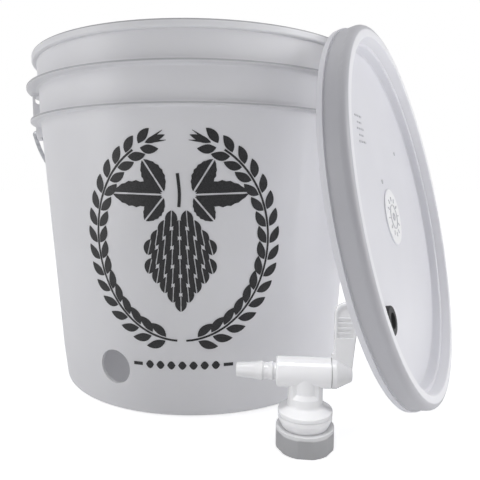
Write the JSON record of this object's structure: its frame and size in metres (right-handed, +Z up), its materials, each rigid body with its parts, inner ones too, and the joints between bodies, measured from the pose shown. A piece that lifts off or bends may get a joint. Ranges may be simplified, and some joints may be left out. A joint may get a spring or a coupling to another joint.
{
  "type": "plastic fermenting bucket",
  "caption": "White plastic fermenting bucket with wire bail and roller grip, press-on lid with gasket and grommet, and a lever tap for a hole low in the wall.",
  "frame": {"origin": "centre of the bucket's foot, on the surface it stands on", "axes": "+Z up the bucket's axis, +X along the bail's pivot line, -Y towards the front, where the tap hole is"},
  "size_m": [0.3394, 0.3103, 0.2436],
  "materials": {
    "bucket_plastic": "semi-gloss natural white polyethylene",
    "lid_plastic": "semi-gloss white polyethylene",
    "grip_plastic": "satin white polyethylene",
    "bail_steel": "bright zinc-plated wire",
    "grommet_rubber": "matt black rubber",
    "gasket_rubber": "matt white foamed rubber",
    "tap_plastic": "glossy white polypropylene",
    "washer_plastic": "satin soft white polyethylene"
  },
  "bodies": {
    "bucket": {"bucket": "bucket_plastic"},
    "bail": {"bail_wire": "bail_steel"},
    "grip": {"bail_grip": "grip_plastic"},
    "lid": {"lid": "lid_plastic", "lid_gasket": "gasket_rubber", "lid_grommet": "grommet_rubber"},
    "tap": {"tap_body": "tap_plastic"},
    "valve": {"tap_valve": "tap_plastic"},
    "washer": {"tap_washer": "washer_plastic"},
    "nut": {"tap_nut": "tap_plastic"}
  },
  "joints": [
    {"name": "bail_swing", "type": "hinge", "parent": "bucket", "child": "bail", "pos_m": [0, 0, 0.1836], "axis": [1, 0, 0], "range_deg": [0, 144]},
    {"name": "grip_spin", "type": "hinge", "parent": "bail", "child": "grip", "pos_m": [0, 0.11951, 0.10359], "axis": [1, 0, 0], "continuous": true},
    {"name": "lid_lift", "type": "slide", "parent": "bucket", "child": "lid", "axis": [0.8118, -0.5428, 0.2154], "range_m": [0, 0.08]},
    {"name": "tap_lift", "type": "slide", "parent": "bucket", "child": "tap", "axis": [0, 0, 1], "range_m": [0, 0.009]},
    {"name": "washer_slide", "type": "slide", "parent": "tap", "child": "washer", "axis": [0, 0, -1], "range_m": [0, 0.009]},
    {"name": "nut_turn", "type": "hinge", "parent": "washer", "child": "nut", "pos_m": [0.0555, -0.1406, 0.006], "axis": [0, 0, -1], "range_deg": [0, 1080]},
    {"name": "valve_turn", "type": "hinge", "parent": "tap", "child": "valve", "pos_m": [0.0555, -0.1406, 0.0414], "axis": [-0.9816, 0.1908, 0], "range_deg": [0, 90]}
  ],
  "couplings": [
    {"joint": "nut_turn", "follows": "tap_lift", "rad_per_m": 2094.4},
    {"joint": "washer_slide", "follows": "tap_lift", "ratio": 1}
  ]
}
